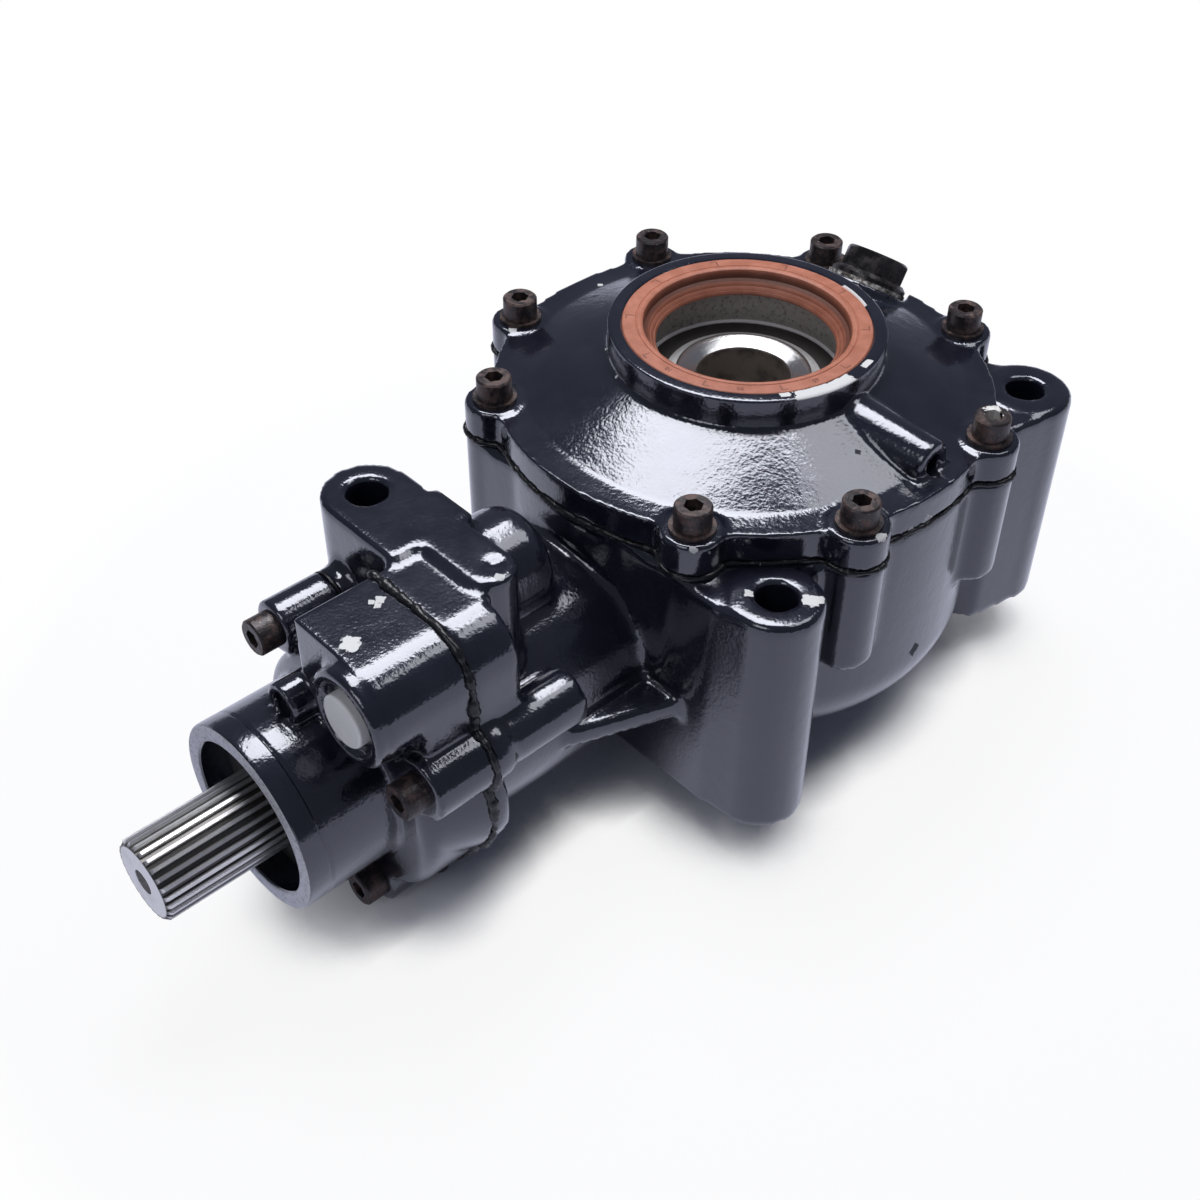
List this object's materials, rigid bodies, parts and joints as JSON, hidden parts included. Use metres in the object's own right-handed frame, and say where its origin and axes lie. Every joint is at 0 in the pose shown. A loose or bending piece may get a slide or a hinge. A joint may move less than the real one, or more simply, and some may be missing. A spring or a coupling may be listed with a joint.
{
  "type": "rear differential",
  "caption": "Bevel gear rear differential with a cast case, side cover, seal collar, splined input shaft and sliding dog clutch.",
  "frame": {"origin": "where the axle axis crosses the bevel pinion's axis", "axes": "+Z along the axle axis towards the side cover, -Y along the input shaft towards its spline, +X towards the top of the vehicle"},
  "size_m": [0.2094, 0.3714, 0.1498],
  "materials": {
    "black_paint": "gloss black paint over cast aluminium",
    "dark_steel": "black oxide, slightly rusted",
    "brown_rubber": "brown fluorocarbon rubber",
    "gasket": "dark fibre gasket",
    "white_plastic": "white plug",
    "black_shield": "black bearing shield",
    "cast_steel": "machined steel",
    "bronze": "bronze washer",
    "bright_steel": "ground steel"
  },
  "bodies": {
    "housing": {"gear_case": "black_paint", "side_cover": "black_paint", "nose_cap": "black_paint", "cover_gasket": "gasket", "nose_gasket": "gasket", "cover_screws": "dark_steel", "cover_washers": "dark_steel", "nose_screws": "dark_steel", "fill_plug": "dark_steel", "fill_washer": "dark_steel", "drain_plug": "dark_steel", "drain_washer": "dark_steel", "nose_plug": "white_plastic", "upper_axle_seal": "brown_rubber", "lower_axle_seal": "brown_rubber", "input_seal": "brown_rubber", "upper_outer_race": "bright_steel", "lower_outer_race": "bright_steel", "head_outer_race": "bright_steel", "tail_outer_race": "bright_steel", "input_outer_race": "bright_steel", "upper_shield": "black_shield"},
    "differential_case": {"carrier": "cast_steel", "carrier_cap": "cast_steel", "carrier_bolts": "dark_steel", "ring_gear": "bright_steel", "cross_pin": "bright_steel", "upper_inner_race": "bright_steel", "lower_inner_race": "bright_steel", "thrust_washer_upper": "bronze", "thrust_washer_lower": "bronze"},
    "side_upper": {"side_gear_upper": "bright_steel"},
    "side_lower": {"side_gear_lower": "bright_steel"},
    "spider_right": {"spider_gear_right": "bright_steel"},
    "spider_left": {"spider_gear_left": "bright_steel"},
    "pinion_line": {"bevel_pinion": "bright_steel", "head_inner_race": "bright_steel", "tail_inner_race": "bright_steel", "pinion_spacer": "bright_steel", "lock_nut": "bright_steel", "dog_hub": "bright_steel"},
    "input_line": {"input_shaft": "bright_steel", "input_inner_race": "bright_steel"},
    "clutch": {"dog_clutch": "bright_steel"},
    "selector": {"selector_rod": "bright_steel", "selector_fork": "bright_steel"},
    "side_cages": {"upper_rollers": "bright_steel", "lower_rollers": "bright_steel"},
    "line_cages": {"head_rollers": "bright_steel", "tail_rollers": "bright_steel", "input_rollers": "bright_steel"}
  },
  "joints": [
    {"name": "carrier_spin", "type": "hinge", "parent": "housing", "child": "differential_case", "pos_m": [0, 0, 0.01765], "axis": [0, 0, 1], "continuous": true},
    {"name": "pinion_spin", "type": "hinge", "parent": "housing", "child": "pinion_line", "pos_m": [0, -0.1, 0], "axis": [0, -1, 0], "continuous": true},
    {"name": "input_spin", "type": "hinge", "parent": "housing", "child": "input_line", "pos_m": [0, -0.22, 0], "axis": [0, -1, 0], "continuous": true},
    {"name": "clutch_slide", "type": "slide", "parent": "input_line", "child": "clutch", "axis": [0, -1, 0], "range_m": [0, 0.009]},
    {"name": "selector_slide", "type": "slide", "parent": "housing", "child": "selector", "axis": [0, -1, 0], "range_m": [0, 0.009]},
    {"name": "side_upper_spin", "type": "hinge", "parent": "differential_case", "child": "side_upper", "pos_m": [0, 0, 0.01765], "axis": [0, 0, 1], "continuous": true},
    {"name": "side_lower_spin", "type": "hinge", "parent": "differential_case", "child": "side_lower", "pos_m": [0, 0, 0.01765], "axis": [0, 0, 1], "continuous": true},
    {"name": "spider_right_spin", "type": "hinge", "parent": "differential_case", "child": "spider_right", "pos_m": [0.03, 0, 0.01765], "axis": [1, 0, 0], "continuous": true},
    {"name": "spider_left_spin", "type": "hinge", "parent": "differential_case", "child": "spider_left", "pos_m": [-0.03, 0, 0.01765], "axis": [-1, 0, 0], "continuous": true},
    {"name": "side_cage_spin", "type": "hinge", "parent": "housing", "child": "side_cages", "pos_m": [0, 0, 0], "axis": [0, 0, 1], "continuous": true},
    {"name": "line_cage_spin", "type": "hinge", "parent": "housing", "child": "line_cages", "pos_m": [0, -0.1, 0], "axis": [0, -1, 0], "continuous": true}
  ],
  "couplings": [
    {"joint": "pinion_spin", "follows": "carrier_spin", "ratio": -3.3636},
    {"joint": "input_spin", "follows": "carrier_spin", "ratio": -3.3636},
    {"joint": "side_cage_spin", "follows": "carrier_spin", "ratio": 0.44461},
    {"joint": "line_cage_spin", "follows": "carrier_spin", "ratio": -1.3601},
    {"joint": "clutch_slide", "follows": "selector_slide", "ratio": 1},
    {"joint": "side_lower_spin", "follows": "side_upper_spin", "ratio": -1},
    {"joint": "spider_right_spin", "follows": "side_upper_spin", "ratio": -1.6},
    {"joint": "spider_left_spin", "follows": "side_upper_spin", "ratio": -1.6}
  ]
}
